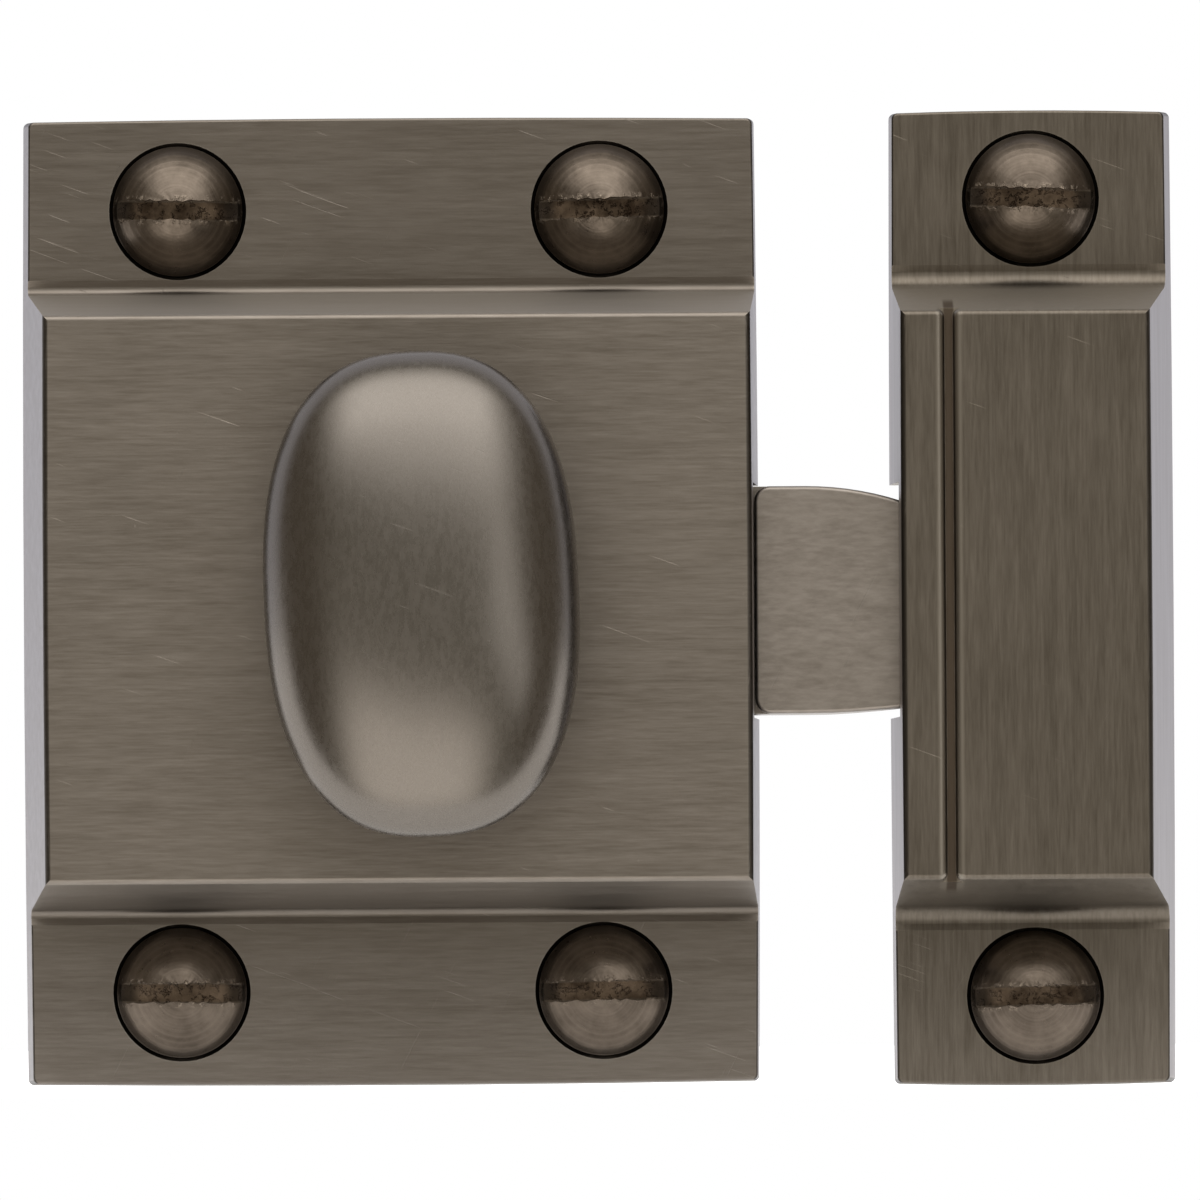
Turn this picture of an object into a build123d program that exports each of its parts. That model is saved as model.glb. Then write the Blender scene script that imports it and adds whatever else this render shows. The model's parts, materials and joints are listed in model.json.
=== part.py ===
# Surface-mounted cupboard catch: a cast case with an oval turn knob, a sprung bolt
# that a cam inside the case draws back, and a cast keep that takes the bolt's nose.
# Millimetres. +X runs along the bolt towards the keep and +Z is up. The front faces
# -Y, and heights are measured forward from the mounting plane y = 0. The origin is
# the centre of the case's four screws on that plane.

import math
import os

from build123d import *

# Shared by both castings
casting_depth = 10.0
flange_t = 2.6
wall_t = 2.0
flange_side_slope = 0.03
foot_dip = 0.07
foot_run = 0.35
foot_flat = 0.06
end_bow = 0.12
corner_r = 0.3
face_edge_r = 0.3
flange_edge_r = 0.12
cavity_corner_r = 1.0
cut_over = 1.0
match_tol = 0.01

# Case
case_w = 38.1
case_h = 50.1
case_box_h = 29.2
case_end_deg = 10.0
case_foot_r = 0.4
case_left_lean = 1.3
case_right_lean = 0.4
case_bow = 0.12
ledge_w = 0.9
rail_w = 18.0
rail_gap = 0.2
boss_r = 2.2
boss_in = 1.9
case_pin_l = 2.5

# Keep
keep_gap = 6.8
keep_w = 14.7
keep_h = 50.5
keep_box_h = 29.2
keep_end_deg = 11.0
keep_foot_r = 0.9
keep_left_lean = 0.45
keep_right_lean = 1.4
keep_bow = 0.08
groove_in = 2.95
groove_w = 0.45
groove_depth = 0.8
groove_edge_r = 0.42

# Wood screws
case_screw_side = 8.15
case_screw_end = 4.85
keep_screw_end = 4.65
head_r = 3.35
head_h = 2.3
head_edge = 0.3
slot_w = 1.1
slot_depth = 1.85
shank_r = 1.75
thread_r = 1.55
thread_l = 7.0
point_l = 3.2
shank_gap = 0.25
countersink_r = 3.55
countersink_half_deg = 41.0
seat_gap = 0.02

# Spindle and cam
spindle_x = 1.75
spindle_r = 2.5
square_w = 3.5
running_gap = 0.06
square_gap = 0.05
bearing_boss_r = 4.2
bearing_boss_h = 1.5
cam_t = 2.8
cam_gap = 0.1
cam_root = 3.4
cam_over_deg = 6.0
cam_tip_r = 0.5
cam_points = 12
turn_deg = 90.0
bolt_travel = 4.0
layer_gap = 0.2
cam_washer_t = 0.5
cam_washer_r = 2.9
spigot_r = 1.5
spigot_gap = 0.05
rivet_r = 2.3
rivet_h = 0.7
rivet_round = 0.5
spindle_chamfer = 0.3

# Knob
knob_washer_t = 0.5
knob_washer_r = 5.4
axial_play = 0.05
knob_w = 16.05
knob_h = 24.7
knob_fullness = 2.5
knob_set_deg = 2.0
knob_front = 5.2
knob_back = 3.2
crown_fullness = 3.0
knob_reach = 8.4
oval_points = 24
back_sections = 5
front_sections = 6
section_deg = 15.0
crown_deg = 85.0
collar_r = 5.0
collar_h = 0.8
neck_r = 3.6
spindle_grip = 7.0
press_gap = 0.01

# Bolt
nose_h = 11.7
nose_drop = 0.17
nose_reach = 3.0
nose_front_gap = 0.2
nose_step = 0.9
nose_start_in = 0.27
nose_corner_r = 0.8
nose_flat = 2.6
nose_top_fall = 1.85
nose_low_fall = 0.6
nose_edge_r = 0.2
bolt_back_gap = 0.25
bevel_l = 6.0
bevel_land = 1.4
notch_gap = 0.2
shoulder_w = 2.0
shoulder_gap = 0.1
shoulder_l = 4.9
frame_arm = 2.0
frame_bar = 3.0
frame_corner_r = 1.0
window_gap = 0.22
hub_gap = 0.4
bolt_pin_l = 3.5

# Spring
spring_od = 5.0
spring_wire = 0.45
spring_turns = 7
wire_sides = 6
spring_pin_gap = 0.4
spring_seat_t = 1.25
spring_seat_r = 2.7
spring_end_gap = 0.02

# Back plate and its screws
plate_t = 1.0
plate_sink = 0.05
plate_gap = 0.1
tongue_in = 0.3
plate_screw_r = 0.95
plate_head_r = 1.8
plate_screw_l = 3.6
plate_slot_w = 0.5
plate_slot_depth = 0.4
pilot_gap = 0.05
pilot_over = 0.5

# Casting places
case_half_w = case_w / 2
case_screw_x = case_w - 2 * case_screw_side
case_screw_z = case_h - 2 * case_screw_end
keep_screw_z = keep_h - 2 * keep_screw_end
keep_left = case_half_w + keep_gap
keep_x = keep_left + keep_w / 2
rebate_depth = plate_t + plate_sink
cavity_depth = casting_depth - wall_t
cavity_left = -case_half_w + case_left_lean + wall_t
cavity_right = case_half_w - wall_t
cavity_x = (cavity_left + cavity_right) / 2
cavity_w = cavity_right - cavity_left
cavity_half_h = case_box_h / 2 - wall_t
rebate_w = cavity_w + 2 * ledge_w
rebate_half_h = cavity_half_h + ledge_w
plate_screw_x = cavity_w - 2 * boss_in
plate_screw_z = 2 * (cavity_half_h - boss_in)
countersink_slope = math.tan(math.radians(countersink_half_deg))

# Cam and bolt places
travel_per_rad = bolt_travel / math.radians(turn_deg)
cam_sweep = math.radians(turn_deg + cam_over_deg)
cam_reach = math.hypot(cam_root + travel_per_rad * cam_sweep, travel_per_rad)
cam_front = cavity_depth - bearing_boss_h - layer_gap
cam_back = cam_front - cam_t
window_left = spindle_x - cam_root - cam_gap
window_right = spindle_x + cam_root + bolt_travel + hub_gap
window_half_h = cam_reach + window_gap
frame_half_h = window_half_h + frame_arm
frame_left = window_left - frame_bar
shoulder_x = cavity_right - shoulder_gap
shoulder_start = shoulder_x - shoulder_l
bolt_front = cavity_depth - nose_front_gap
bolt_back = rebate_depth + bolt_back_gap
shank_front = bolt_front - nose_step
nose_start = case_half_w - nose_start_in
nose_top = nose_h / 2 - nose_drop
nose_low = -nose_h / 2 - nose_drop
nose_tip = keep_left + nose_reach
notch_half_h = nose_h / 2 + notch_gap
spring_axis_h = (cam_front + cam_back) / 2
spring_r = (spring_od - spring_wire) / 2
spring_pin_r = spring_od / 2 - spring_wire - spring_pin_gap
knob_base = casting_depth + knob_washer_t + axial_play
knob_mid = knob_base + knob_reach


def front(height):
    """The plane facing forward at this height above the mounting plane."""
    return Plane.XZ.offset(height)


def casting_outline(height, centre_x, length, left, right, bow):
    """A casting's outline at this height, its edges slightly bowed and its corners eased."""
    half_h = length / 2 - height * flange_side_slope
    end_z = half_h - end_bow
    with BuildSketch(front(height)) as outline:
        with BuildLine(Plane((centre_x, 0, 0))):
            ThreePointArc((bow - left, -end_z), (-left, 0), (bow - left, end_z))
            ThreePointArc((bow - left, end_z), (0, half_h), (right - bow, end_z))
            ThreePointArc((right - bow, end_z), (right, 0), (right - bow, -end_z))
            ThreePointArc((right - bow, -end_z), (0, -half_h), (bow - left, -end_z))
        make_face()
        fillet(outline.vertices(), corner_r)
    return outline.sketch


def casting_blank(
    centre_x, width, length, box_h, end_deg, foot_r, left_lean, right_lean, bow
):
    """A raised box between two flanges, its sides leaning in."""
    half_w = width / 2
    half_h = length / 2
    floor = flange_t - foot_dip
    wall_foot = box_h / 2 + (casting_depth - floor) * math.tan(math.radians(end_deg))
    foot_l = foot_r / math.tan(math.radians(45 + end_deg / 2))
    crest = wall_foot + foot_l + foot_flat + foot_run
    with BuildPart() as blank:
        loft(
            sections=[
                casting_outline(0, centre_x, length, half_w, half_w, bow),
                casting_outline(
                    casting_depth,
                    centre_x,
                    length,
                    half_w - left_lean,
                    half_w - right_lean,
                    bow,
                ),
            ],
            ruled=True,
        )
        with BuildSketch(Plane.YZ) as ends:
            upper = [
                (0, half_h + cut_over),
                (-flange_t, half_h + cut_over),
                (-flange_t, crest),
                (-floor, crest - foot_run),
                (-floor, wall_foot),
                (-casting_depth, box_h / 2),
            ]
            lower = [(y, -z) for y, z in reversed(upper)]
            with BuildLine():
                Polyline(*upper, *lower, close=True)
            make_face()
            feet = ends.vertices().filter_by(lambda v: abs(abs(v.Y) - wall_foot) < match_tol)
            fillet(feet, foot_r)
        extrude(amount=abs(centre_x) + width, both=True, mode=Mode.INTERSECT)
        face = blank.faces().sort_by(Axis.Y)[0]
        fillet(face.edges(), face_edge_r)
        flanges = blank.faces().filter_by(Axis.Y).filter_by_position(
            Axis.Y, -flange_t - match_tol, -flange_t + match_tol
        )
        rims = flanges.edges().filter_by(lambda e: abs(e.center().Z) > crest + match_tol)
        fillet(rims, flange_edge_r)
    return blank.part


def wood_screw(seat):
    """A round-headed slotted wood screw on the Y axis, its head seated at this height."""
    head_top = seat + head_h
    with BuildPart() as screw:
        with BuildSketch(Plane.XY) as profile:
            with BuildLine():
                Polyline(
                    (0, -head_top),
                    (0, thread_l + point_l),
                    (thread_r, thread_l),
                    (thread_r, 0),
                    (shank_r, 0),
                    (shank_r, -seat),
                    (head_r, -seat),
                    (head_r, -seat - head_edge),
                )
                TangentArc((0, -head_top), (head_r, -seat - head_edge), tangent=(1, 0))
            make_face()
        revolve(axis=Axis.Y)
        with BuildSketch(front(head_top)) as slot:
            Rectangle(2 * head_r + cut_over, slot_w)
        extrude(amount=-slot_depth, mode=Mode.SUBTRACT)
    return screw.part


def oval_section(height, share):
    """One section of the knob's head: a full oval, this share of its widest size."""
    points = []
    for step in range(oval_points):
        turn = 2 * math.pi * step / oval_points
        across, along = math.cos(turn), math.sin(turn)
        points.append(
            (
                share * knob_w / 2 * math.copysign(abs(across) ** (2 / knob_fullness), across),
                share * knob_h / 2 * math.copysign(abs(along) ** (2 / knob_fullness), along),
            )
        )
    with BuildSketch(front(height)) as section:
        with BuildLine(Plane((spindle_x, 0, 0)).rotated((0, 0, knob_set_deg))):
            Spline(*points, periodic=True)
        make_face()
    return section.sketch


screw_seat = flange_t - (countersink_r - head_r) / countersink_slope + seat_gap
case_screw_places = [
    (x * case_screw_x / 2, 0, z * case_screw_z / 2) for x in (-1, 1) for z in (-1, 1)
]
keep_screw_places = [(keep_x, 0, z * keep_screw_z / 2) for z in (-1, 1)]

# Case: hollow from the back, with rails for the bolt's frame and bosses for the plate
with BuildPart() as case:
    add(
        casting_blank(
            0,
            case_w,
            case_h,
            case_box_h,
            case_end_deg,
            case_foot_r,
            case_left_lean,
            case_right_lean,
            case_bow,
        )
    )
    with BuildSketch(front(0)) as cavity:
        with Locations((cavity_x, 0)):
            RectangleRounded(cavity_w, 2 * cavity_half_h, cavity_corner_r)
    extrude(amount=cavity_depth, mode=Mode.SUBTRACT)
    with BuildSketch(front(0)) as rebate:
        with Locations((cavity_x, 0)):
            RectangleRounded(rebate_w, 2 * rebate_half_h, cavity_corner_r)
    extrude(amount=rebate_depth, mode=Mode.SUBTRACT)
    with BuildSketch(front(rebate_depth)) as rails:
        rail_foot = frame_half_h + rail_gap
        rail_t = cavity_half_h - rail_foot
        with Locations((0, rail_foot + rail_t / 2), (0, -rail_foot - rail_t / 2)):
            Rectangle(rail_w, rail_t)
    extrude(amount=cavity_depth - rebate_depth)
    with BuildSketch(front(rebate_depth)) as plate_bosses:
        with Locations((cavity_x, 0)):
            with GridLocations(plate_screw_x, plate_screw_z, 2, 2):
                Circle(boss_r)
                Circle(plate_screw_r + pilot_gap, mode=Mode.SUBTRACT)
    extrude(amount=cavity_depth - rebate_depth)
    with BuildSketch(front(rebate_depth)) as pilots:
        with Locations((cavity_x, 0)):
            with GridLocations(plate_screw_x, plate_screw_z, 2, 2):
                Circle(plate_screw_r + pilot_gap)
    extrude(amount=plate_screw_l - plate_t + pilot_over, mode=Mode.SUBTRACT)
    with BuildSketch(front(cavity_depth - bearing_boss_h)) as bearing_boss:
        with Locations((spindle_x, 0)):
            Circle(bearing_boss_r)
    extrude(amount=bearing_boss_h)
    with BuildSketch(front(0)) as bearing_bore:
        with Locations((spindle_x, 0)):
            Circle(spindle_r + running_gap)
    extrude(amount=casting_depth, mode=Mode.SUBTRACT)
    with BuildSketch(front(0)) as notch:
        with Locations((case_half_w, -nose_drop)):
            Rectangle(2 * wall_t + cut_over, 2 * notch_half_h)
    extrude(amount=cavity_depth, mode=Mode.SUBTRACT)
    with BuildSketch(Plane.YZ.offset(cavity_left)) as spring_pin:
        with Locations((-spring_axis_h, 0)):
            Circle(spring_pin_r)
    extrude(amount=case_pin_l)
    with Locations(front(flange_t)):
        with GridLocations(case_screw_x, case_screw_z, 2, 2):
            CounterSinkHole(
                shank_r + shank_gap, countersink_r, flange_t, 2 * countersink_half_deg
            )
case.part.label = "case"

# Back plate: let into the case's back, with a tongue that closes the bolt's notch
back_side = Plane((cavity_x, -plate_sink, 0), x_dir=(1, 0, 0), z_dir=(0, 1, 0))
with BuildPart() as back_plate:
    with BuildSketch(front(plate_sink)) as plate_outline:
        with Locations((cavity_x, 0)):
            RectangleRounded(
                rebate_w - 2 * plate_gap, 2 * (rebate_half_h - plate_gap), cavity_corner_r
            )
        with Locations((cavity_x, -nose_drop)):
            Rectangle(
                case_half_w - tongue_in - cavity_x, nose_h, align=(Align.MIN, Align.CENTER)
            )
    extrude(amount=plate_t)
    with Locations(back_side):
        with GridLocations(plate_screw_x, plate_screw_z, 2, 2):
            CounterSinkHole(
                plate_screw_r + pilot_gap, plate_head_r, plate_t, 2 * countersink_half_deg
            )
back_plate.part.label = "back_plate"

# Back plate screws: four countersunk screws into the case's bosses
plate_head_h = (plate_head_r - plate_screw_r) / countersink_slope
with BuildPart() as plate_screw:
    with BuildSketch(Plane.XY) as plate_screw_profile:
        with BuildLine():
            Polyline(
                (0, -plate_sink),
                (plate_head_r - seat_gap, -plate_sink),
                (plate_screw_r, -plate_sink - plate_head_h),
                (plate_screw_r, -plate_sink - plate_screw_l),
                (0, -plate_sink - plate_screw_l),
                close=True,
            )
        make_face()
    revolve(axis=Axis.Y)
    with BuildSketch(front(plate_sink)) as plate_slot:
        Rectangle(2 * plate_head_r + cut_over, plate_slot_w)
    extrude(amount=plate_slot_depth, mode=Mode.SUBTRACT)
with BuildPart() as back_plate_screws:
    with Locations(
        *[
            (cavity_x + x * plate_screw_x / 2, 0, z * plate_screw_z / 2)
            for x in (-1, 1)
            for z in (-1, 1)
        ]
    ):
        add(plate_screw.part)
back_plate_screws.part.label = "back_plate_screws"

# Case screws
with BuildPart() as case_screws:
    with Locations(*case_screw_places):
        add(wood_screw(screw_seat))
case_screws.part.label = "case_screws"

# Keep: hollow from the back and open towards the bolt, with a grooved lip
with BuildPart() as keep:
    add(
        casting_blank(
            keep_x,
            keep_w,
            keep_h,
            keep_box_h,
            keep_end_deg,
            keep_foot_r,
            keep_left_lean,
            keep_right_lean,
            keep_bow,
        )
    )
    with BuildSketch(front(casting_depth)) as groove:
        with Locations((keep_left + groove_in, 0)):
            Rectangle(groove_w, keep_h)
    extrude(amount=-groove_depth, mode=Mode.SUBTRACT)
    groove_edges = (
        keep.edges()
        .filter_by(Axis.Z)
        .filter_by_position(Axis.Y, -casting_depth - match_tol, -casting_depth + match_tol)
        .sort_by(lambda e: abs(e.center().X - keep_left - groove_in))[0:2]
    )
    fillet(groove_edges, groove_edge_r)
    pocket_left = keep_left + keep_left_lean + wall_t
    pocket_right = keep_left + keep_w - keep_right_lean - wall_t
    with BuildSketch(front(0)) as pocket:
        with Locations(((pocket_left + pocket_right) / 2, 0)):
            RectangleRounded(
                pocket_right - pocket_left, keep_box_h - 2 * wall_t, cavity_corner_r
            )
    extrude(amount=cavity_depth, mode=Mode.SUBTRACT)
    with BuildSketch(front(0)) as mouth:
        with Locations((keep_left, -nose_drop)):
            Rectangle(2 * (wall_t + keep_left_lean) + cut_over, 2 * notch_half_h)
    extrude(amount=cavity_depth, mode=Mode.SUBTRACT)
    with Locations(Plane((keep_x, -flange_t, 0), x_dir=(1, 0, 0), z_dir=(0, -1, 0))):
        with GridLocations(keep_w, keep_screw_z, 1, 2):
            CounterSinkHole(
                shank_r + shank_gap, countersink_r, flange_t, 2 * countersink_half_deg
            )
keep.part.label = "keep"

# Keep screws
with BuildPart() as keep_screws:
    with Locations(*keep_screw_places):
        add(wood_screw(screw_seat))
keep_screws.part.label = "keep_screws"

# Spindle: held in the knob, turning in the case, squared for the cam and riveted over
with BuildPart() as spindle:
    with BuildSketch(front(cam_front)) as journal:
        with Locations((spindle_x, 0)):
            Circle(spindle_r)
    extrude(amount=knob_base + spindle_grip - cam_front)
    with BuildSketch(front(cam_back)) as square:
        with Locations((spindle_x, 0)):
            Rectangle(square_w, square_w)
    extrude(amount=cam_t)
    with BuildSketch(front(cam_back - cam_washer_t)) as spigot:
        with Locations((spindle_x, 0)):
            Circle(spigot_r)
    extrude(amount=cam_washer_t)
    with BuildSketch(front(cam_back - cam_washer_t)) as rivet:
        with Locations((spindle_x, 0)):
            Circle(rivet_r)
    extrude(amount=-rivet_h)
    rivet_rim = spindle.faces().sort_by(Axis.Y)[-1].edges()
    fillet(rivet_rim, rivet_round)
    spindle_end = spindle.faces().sort_by(Axis.Y)[0].edges()
    chamfer(spindle_end, spindle_chamfer)
spindle.part.label = "spindle"

# Cam: its working face keeps one offset from the axis, so the bolt moves evenly
involute = []
for step in range(cam_points + 1):
    swing = cam_sweep * step / cam_points
    lift = cam_root + travel_per_rad * swing
    involute.append(
        (
            -lift * math.cos(swing) + travel_per_rad * math.sin(swing),
            -lift * math.sin(swing) - travel_per_rad * math.cos(swing),
        )
    )
with BuildPart() as cam:
    with BuildSketch(front(cam_back)) as cam_outline:
        with BuildLine(Plane((spindle_x, 0, 0))):
            Line((-cam_root, 0), involute[0])
            Spline(*involute)
            Line(involute[-1], (cam_root, 0))
            ThreePointArc((cam_root, 0), (0, cam_root), (-cam_root, 0))
        make_face()
        fillet(cam_outline.vertices().sort_by(Axis.Y)[0], cam_tip_r)
        with Locations((spindle_x, 0)):
            square_hole = square_w + 2 * square_gap
            Rectangle(square_hole, square_hole, mode=Mode.SUBTRACT)
    extrude(amount=cam_t)
cam.part.label = "cam"

# Cam washer: under the spindle's riveted end
with BuildPart() as cam_washer:
    with BuildSketch(front(cam_back - cam_washer_t)) as cam_washer_ring:
        with Locations((spindle_x, 0)):
            Circle(cam_washer_r)
            Circle(spigot_r + spigot_gap, mode=Mode.SUBTRACT)
    extrude(amount=cam_washer_t)
cam_washer.part.label = "cam_washer"

# Knob washer: between the case and the knob's collar
with BuildPart() as knob_washer:
    with BuildSketch(front(casting_depth)) as knob_washer_ring:
        with Locations((spindle_x, 0)):
            Circle(knob_washer_r)
            Circle(spindle_r + running_gap, mode=Mode.SUBTRACT)
    extrude(amount=knob_washer_t)
knob_washer.part.label = "knob_washer"

# Knob: a full oval head on a turned neck that flares into its collar
with BuildPart() as knob:
    head_sections = []
    for step in range(-back_sections, front_sections + 1):
        angle = min(step * section_deg, crown_deg)
        depth = knob_front if angle > 0 else knob_back
        share = math.cos(math.radians(angle)) ** (2 / crown_fullness)
        height = knob_mid + depth * math.sin(math.radians(angle))
        head_sections.append(oval_section(height, share))
    loft(sections=head_sections)
    flare_start = knob_mid - knob_back
    collar_front = knob_base + collar_h
    with BuildSketch(Plane.XY) as neck_profile:
        with BuildLine(Plane((spindle_x, 0, 0))):
            Polyline(
                (neck_r, -flare_start),
                (neck_r, -knob_mid),
                (0, -knob_mid),
                (0, -knob_base),
                (collar_r, -knob_base),
                (collar_r, -collar_front),
            )
            TangentArc((neck_r, -flare_start), (collar_r, -collar_front), tangent=(0, 1))
        make_face()
    revolve(axis=Axis((spindle_x, 0, 0), (0, 1, 0)))
    with BuildSketch(front(knob_base)) as spindle_bore:
        with Locations((spindle_x, 0)):
            Circle(spindle_r + press_gap)
    extrude(amount=spindle_grip, mode=Mode.SUBTRACT)
knob.part.label = "knob"

# Bolt: nose, shouldered shank and the frame that surrounds the cam
with BuildPart() as bolt:
    with BuildSketch(front(cam_back)) as frame:
        with Locations((frame_left, 0)):
            Rectangle(
                shoulder_start - frame_left, 2 * frame_half_h, align=(Align.MIN, Align.CENTER)
            )
        fillet(frame.vertices(), frame_corner_r)
        with Locations((window_left, 0)):
            Rectangle(
                window_right - window_left,
                2 * window_half_h,
                align=(Align.MIN, Align.CENTER),
                mode=Mode.SUBTRACT,
            )
    extrude(amount=cam_t)
    with BuildSketch(front(bolt_back)) as shank:
        with Locations((shoulder_x, 0)):
            Rectangle(
                shoulder_l, nose_h + 2 * shoulder_w, align=(Align.MAX, Align.CENTER)
            )
    extrude(amount=shank_front - bolt_back)
    with BuildSketch(front(bolt_back)) as nose:
        with BuildLine():
            Polyline(
                (nose_start + nose_flat, nose_top),
                (shoulder_x, nose_top),
                (shoulder_x, nose_low),
                (nose_start + nose_flat, nose_low),
            )
            upper = TangentArc(
                (nose_start + nose_flat, nose_top),
                (nose_tip, nose_top - nose_top_fall),
                tangent=(1, 0),
            )
            lower = TangentArc(
                (nose_start + nose_flat, nose_low),
                (nose_tip, nose_low + nose_low_fall),
                tangent=(1, 0),
            )
            Line(upper @ 1, lower @ 1)
        make_face()
        fillet(nose.vertices().sort_by(Axis.X)[-2:], nose_corner_r)
    extrude(amount=shank_front - bolt_back)
    with BuildSketch(front(shank_front)) as nose_face:
        add(nose.sketch_local)
        with Locations((nose_start, 0)):
            Rectangle(
                nose_start, 2 * nose_h, align=(Align.MAX, Align.CENTER), mode=Mode.SUBTRACT
            )
        fillet(nose_face.vertices().sort_by(Axis.X)[0:2], nose_corner_r)
    extrude(amount=nose_step)
    with BuildSketch(Plane.XY) as bevel:
        with BuildLine():
            Polyline(
                (nose_tip - bevel_l, -bolt_back),
                (nose_tip, -bolt_front + bevel_land),
                (nose_tip + cut_over, -bolt_front + bevel_land),
                (nose_tip + cut_over, 0),
                (nose_tip - bevel_l, 0),
                close=True,
            )
        make_face()
    extrude(amount=nose_h, both=True, mode=Mode.SUBTRACT)
    nose_rim = bolt.faces().sort_by(Axis.Y)[0].edges()
    fillet(nose_rim, nose_edge_r)
    with BuildSketch(Plane.YZ.offset(frame_left)) as spring_seat:
        with Locations((-spring_axis_h, 0)):
            Circle(spring_seat_r)
    extrude(amount=spring_seat_t)
    with BuildSketch(Plane.YZ.offset(frame_left)) as bolt_pin:
        with Locations((-spring_axis_h, 0)):
            Circle(spring_pin_r)
    extrude(amount=-bolt_pin_l)
bolt.part.label = "bolt"

# Bolt spring: coiled round the case's pin and the bolt's pin
spring_l = frame_left - cavity_left - spring_wire - 2 * spring_end_gap
with BuildPart() as bolt_spring:
    with BuildLine() as coil:
        Helix(
            pitch=spring_l / spring_turns,
            height=spring_l,
            radius=spring_r,
            center=(cavity_left + spring_wire / 2 + spring_end_gap, -spring_axis_h, 0),
            direction=(1, 0, 0),
        )
    with BuildSketch(Plane(origin=coil.line @ 0, z_dir=coil.line % 0)) as wire_section:
        RegularPolygon(spring_wire / 2, wire_sides)
    sweep(path=coil.line)
bolt_spring.part.label = "bolt_spring"

os.makedirs("parts", exist_ok=True)
for piece in (
    case,
    back_plate,
    back_plate_screws,
    case_screws,
    keep,
    keep_screws,
    knob,
    knob_washer,
    spindle,
    cam,
    cam_washer,
    bolt,
    bolt_spring,
):
    export_step(piece.part, f"parts/{piece.part.label}.step")
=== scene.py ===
"""A cupboard catch latch: the visible pieces, their finishes, the studio and the camera."""

import json
import math
import random

import bmesh
import bpy
from mathutils import Matrix, Vector


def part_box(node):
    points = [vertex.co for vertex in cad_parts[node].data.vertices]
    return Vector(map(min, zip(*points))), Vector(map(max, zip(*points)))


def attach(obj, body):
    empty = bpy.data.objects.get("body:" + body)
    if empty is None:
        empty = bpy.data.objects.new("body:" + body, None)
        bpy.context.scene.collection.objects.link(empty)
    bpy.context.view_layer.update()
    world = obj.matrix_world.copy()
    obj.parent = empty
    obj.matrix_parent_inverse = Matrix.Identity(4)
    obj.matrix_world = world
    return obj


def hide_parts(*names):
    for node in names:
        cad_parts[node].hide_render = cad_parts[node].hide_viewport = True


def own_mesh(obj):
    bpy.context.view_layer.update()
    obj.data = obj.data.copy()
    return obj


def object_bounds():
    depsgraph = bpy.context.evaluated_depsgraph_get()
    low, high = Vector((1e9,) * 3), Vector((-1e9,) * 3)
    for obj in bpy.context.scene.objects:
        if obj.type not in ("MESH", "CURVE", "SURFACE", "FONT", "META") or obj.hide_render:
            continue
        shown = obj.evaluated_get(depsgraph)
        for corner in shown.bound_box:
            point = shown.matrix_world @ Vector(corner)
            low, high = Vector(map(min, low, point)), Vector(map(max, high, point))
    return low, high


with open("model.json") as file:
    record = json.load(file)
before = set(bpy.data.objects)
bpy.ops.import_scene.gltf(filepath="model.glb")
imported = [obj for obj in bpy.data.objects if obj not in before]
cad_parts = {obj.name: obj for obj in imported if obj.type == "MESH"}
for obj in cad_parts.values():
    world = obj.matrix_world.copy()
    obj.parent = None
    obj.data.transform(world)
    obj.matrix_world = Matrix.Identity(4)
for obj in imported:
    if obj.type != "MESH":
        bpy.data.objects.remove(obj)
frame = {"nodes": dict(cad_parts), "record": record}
cad_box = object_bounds()

MM = 0.001

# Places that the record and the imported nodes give
mounts = {mount["name"]: mount for mount in frame["record"]["mounts"]}
case_dims = mounts["case_screws"]["dims"]
keep_dims = mounts["keep_screws"]["dims"]
keep_x = mounts["keep_screws"]["pos_m"][0]
knob_low, knob_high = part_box("knob")
screws_low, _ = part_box("case_screws")
spring_low, spring_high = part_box("bolt_spring")
keep_low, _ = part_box("keep")
spindle_x = (knob_low.x + knob_high.x) / 2

# Keep's groove, with how far its lighter lips and its painted shade reach from its middle
GROOVE_IN = 2.95 * MM
LIPS_END, LIPS_FULL = 0.75 * MM, 0.5 * MM
GROOVE_SHADE_END, GROOVE_SHADE_FULL = 0.32 * MM, 0.2 * MM
groove_x = keep_low.x + GROOVE_IN

# Knob: the part's own sizes, with an upright band at the edge and a flatter crown
KNOB_HALF_W = 8.025 * MM
KNOB_HALF_H = 12.35 * MM
KNOB_FULLNESS = 2.5
KNOB_SET = math.radians(2.0)
KNOB_FRONT = 5.2 * MM
KNOB_BACK = 3.2 * MM
KNOB_BAND = 0.9 * MM
CROWN_FULLNESS = 2.45
BACK_FULLNESS = 3.0
COLLAR_R = 5.0 * MM
COLLAR_H = 0.8 * MM
COLLAR_EDGE = 0.15 * MM
NECK_R = 3.6 * MM
NECK_STEPS = 8
BORE_R = 2.51 * MM
BORE_DEPTH = 7.0 * MM
KNOB_SIDES = 96
CROWN_STEPS = 14
CROWN_END_DEG = 89
BACK_STEPS = 7
BACK_STEP_DEG = 10
KNOB_SMOOTH_DEG = 40

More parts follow.
